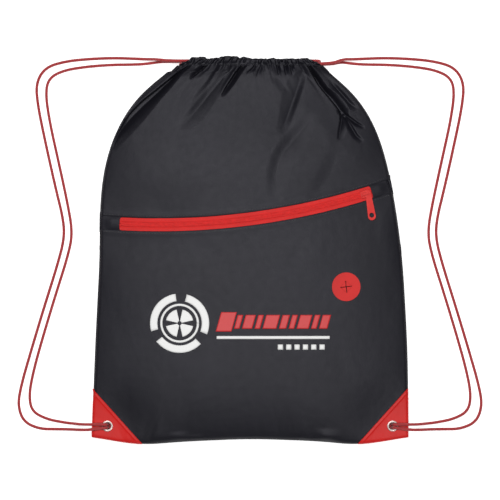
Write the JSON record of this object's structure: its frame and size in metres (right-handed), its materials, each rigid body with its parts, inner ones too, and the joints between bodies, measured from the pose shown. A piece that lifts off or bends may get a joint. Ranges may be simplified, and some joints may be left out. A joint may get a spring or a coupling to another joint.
{
  "type": "drawstring backpack",
  "caption": "Flat drawstring backpack with a gathered mouth, a curved zipped front pocket, an earbud port, corner grommets and cord straps.",
  "frame": {"origin": "middle of the bag's outline, on the surface that the bag lies on", "axes": "+X towards the right side of the front face, +Y up the bag to its mouth, +Z out of the front face"},
  "size_m": [0.5068, 0.4209, 0.0291],
  "materials": {
    "charcoal_polyester": "fine plain weave, slight sheen",
    "red_vinyl": "smooth imitation leather, satin",
    "red_zipper_tape": "dense woven tape, matt",
    "red_nylon_coil": "satin",
    "red_painted_metal": "semi-gloss paint",
    "red_port_rubber": "matt",
    "nickel_plate": "polished nickel plate",
    "red_cord": "braided polyester cord"
  },
  "bodies": {
    "bag": {"back_panel": "charcoal_polyester", "front_upper_panel": "charcoal_polyester", "front_pocket_panel": "charcoal_polyester", "pocket_lining": "charcoal_polyester", "front_casing": "charcoal_polyester", "back_casing": "charcoal_polyester", "corner_patch_front_left": "red_vinyl", "corner_patch_front_right": "red_vinyl", "corner_patch_back_left": "red_vinyl", "corner_patch_back_right": "red_vinyl", "zipper_tape_upper": "red_zipper_tape", "zipper_tape_lower": "red_zipper_tape", "zipper_coil_upper": "red_nylon_coil", "zipper_coil_lower": "red_nylon_coil", "zipper_open_end_stop": "red_painted_metal", "zipper_closed_end_stops": "red_painted_metal", "zipper_end_tab_left": "charcoal_polyester", "zipper_end_tab_right": "charcoal_polyester", "earbud_port_disc": "red_port_rubber", "grommet_left": "nickel_plate", "grommet_right": "nickel_plate", "grommet_washer_left": "nickel_plate", "grommet_washer_right": "nickel_plate", "cord_knot_left": "red_cord", "cord_knot_right": "red_cord", "drawcord_left": "red_cord", "drawcord_right": "red_cord"},
    "slider": {"zipper_slider": "red_painted_metal"},
    "pull": {"zipper_pull": "red_painted_metal"},
    "port_flap_1": {"port_flap_1": "red_port_rubber"},
    "port_flap_2": {"port_flap_2": "red_port_rubber"},
    "port_flap_3": {"port_flap_3": "red_port_rubber"},
    "port_flap_4": {"port_flap_4": "red_port_rubber"}
  },
  "joints": [
    {"name": "zipper_travel", "type": "hinge", "parent": "bag", "child": "slider", "pos_m": [-0.0569, 0.45972, -0.34955], "axis": [-0.0822, 0.6541, 0.7519], "range_deg": [-26.37, 0]},
    {"name": "pull_swing", "type": "hinge", "parent": "slider", "child": "pull", "pos_m": [0.1279, 0.0616, 0.0208], "axis": [0.148, 0.0319, 0.9885], "range_deg": [-37.6, 234.4]},
    {"name": "port_flap_1_bend", "type": "hinge", "parent": "bag", "child": "port_flap_1", "pos_m": [0.10666, -0.03602, 0.02501], "axis": [0.7841, -0.6158, -0.0773], "range_deg": [0, 65], "stiffness_Nm_per_rad": 0.0003},
    {"name": "port_flap_2_bend", "type": "hinge", "parent": "bag", "child": "port_flap_2", "pos_m": [0.10014, -0.03683, 0.02568], "axis": [0.6123, 0.7879, -0.0662], "range_deg": [0, 65], "stiffness_Nm_per_rad": 0.0003},
    {"name": "port_flap_3_bend", "type": "hinge", "parent": "bag", "child": "port_flap_3", "pos_m": [0.10094, -0.04338, 0.02563], "axis": [-0.7841, 0.6158, 0.0773], "range_deg": [0, 65], "stiffness_Nm_per_rad": 0.0003},
    {"name": "port_flap_4_bend", "type": "hinge", "parent": "bag", "child": "port_flap_4", "pos_m": [0.10746, -0.04257, 0.02496], "axis": [-0.6123, -0.7879, 0.0662], "range_deg": [0, 65], "stiffness_Nm_per_rad": 0.0003}
  ]
}
